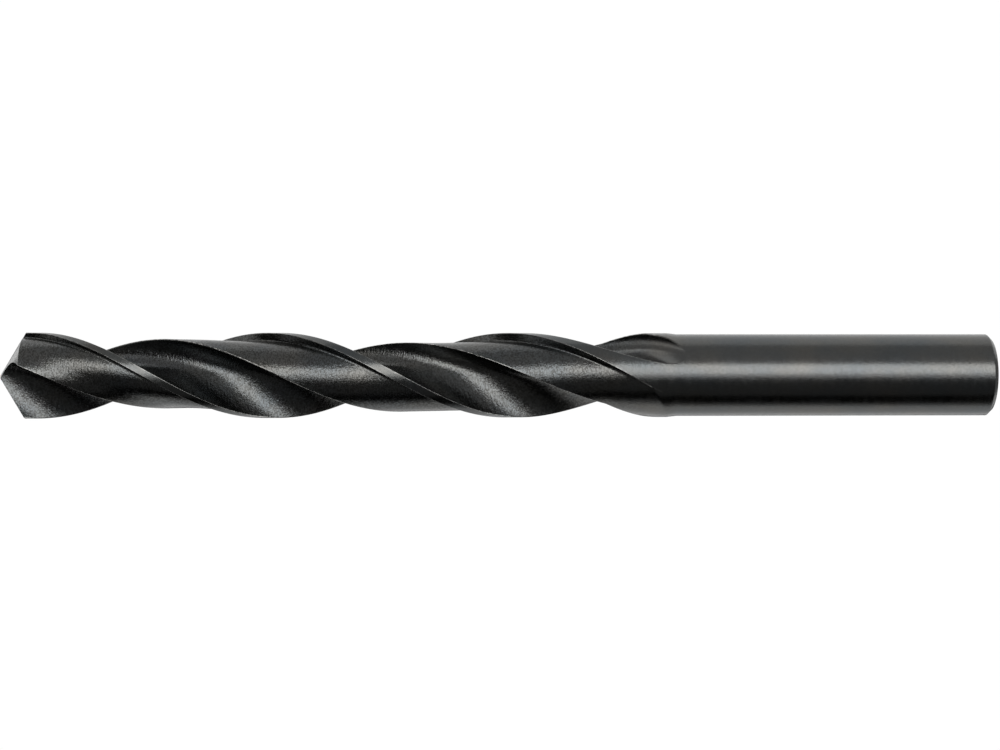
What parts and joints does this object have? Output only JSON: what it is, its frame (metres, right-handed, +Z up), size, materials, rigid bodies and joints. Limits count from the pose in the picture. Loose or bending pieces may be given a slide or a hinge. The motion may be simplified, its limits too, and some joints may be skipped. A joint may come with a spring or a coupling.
{
  "type": "twist drill bit",
  "caption": "Round bar ground into a two-flute helical cutting tool with a conical point, for drilling round holes in metal.",
  "frame": {"origin": "centre of the flat end of the shank, which the bit stands on", "axes": "+Z up the drill's axis from the shank's end to the point; the cutting lips lie near the X axis"},
  "size_m": [0.013, 0.013, 0.151],
  "materials": {
    "tool_steel": "ground high-speed steel with a steam-blackened satin surface"
  },
  "bodies": {
    "root": {"drill_bit": "tool_steel"}
  },
  "joints": []
}
